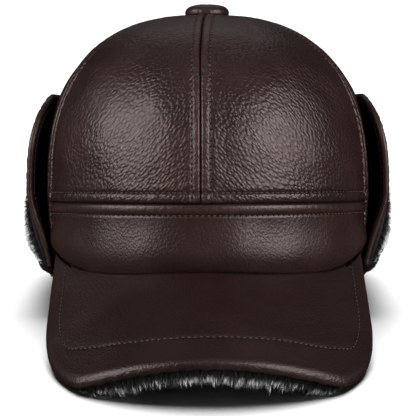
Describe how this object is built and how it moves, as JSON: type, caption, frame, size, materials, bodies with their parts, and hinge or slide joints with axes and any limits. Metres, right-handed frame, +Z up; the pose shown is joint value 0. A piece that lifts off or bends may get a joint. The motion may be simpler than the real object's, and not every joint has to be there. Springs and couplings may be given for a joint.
{
  "type": "trapper hat",
  "caption": "Peaked leather cap with a rounded panelled crown, padded front band, covered button and fur-lined ear flaps that fold up beside the crown.",
  "frame": {"origin": "centre of the bounding box's underside, on the table that the cap rests on", "axes": "+Z up from the table, -Y towards the peak, +X towards the wearer's left"},
  "size_m": [0.2018, 0.2668, 0.1619],
  "materials": {
    "crown_leather": "pebbled, semi-gloss",
    "smooth_leather": "fine grain, semi-gloss",
    "fur": "short pile with pale tips",
    "lining_satin": "satin",
    "wadding": "matt fleece",
    "buckram": "stiff open weave",
    "elastic": "ribbed weave",
    "board": "matt",
    "metal": "dull plated"
  },
  "bodies": {
    "crown": {"front_panel_left": "crown_leather", "front_panel_right": "crown_leather", "side_panel_left": "crown_leather", "side_panel_right": "crown_leather", "back_panel_left": "crown_leather", "back_panel_right": "crown_leather", "front_band": "smooth_leather", "front_band_padding": "wadding", "front_stiffener": "buckram", "crown_wadding": "wadding", "rear_elastic": "elastic", "front_lining_left": "lining_satin", "front_lining_right": "lining_satin", "side_lining_left": "lining_satin", "side_lining_right": "lining_satin", "back_lining_left": "lining_satin", "back_lining_right": "lining_satin", "inner_fur_band": "fur", "hem_binding": "smooth_leather", "peak_cover": "smooth_leather", "peak_board": "board", "peak_binding": "smooth_leather", "peak_fur": "fur", "button_cover": "crown_leather", "button_core": "metal", "button_washer": "metal"},
    "left_ear_flap": {"ear_flap_leather_left": "smooth_leather", "ear_flap_wadding_left": "wadding", "ear_flap_fur_left": "fur", "ear_flap_binding_left": "smooth_leather"},
    "right_ear_flap": {"ear_flap_leather_right": "smooth_leather", "ear_flap_wadding_right": "wadding", "ear_flap_fur_right": "fur", "ear_flap_binding_right": "smooth_leather"}
  },
  "joints": [
    {"name": "left_flap_fold", "type": "hinge", "parent": "crown", "child": "left_ear_flap", "pos_m": [0.0845, 0.02208, 0.01655], "axis": [0, 0.9823, -0.1874], "range_deg": [0, 175]},
    {"name": "right_flap_fold", "type": "hinge", "parent": "crown", "child": "right_ear_flap", "pos_m": [-0.0845, 0.02208, 0.01655], "axis": [0, -0.9823, 0.1874], "range_deg": [0, 175]}
  ]
}
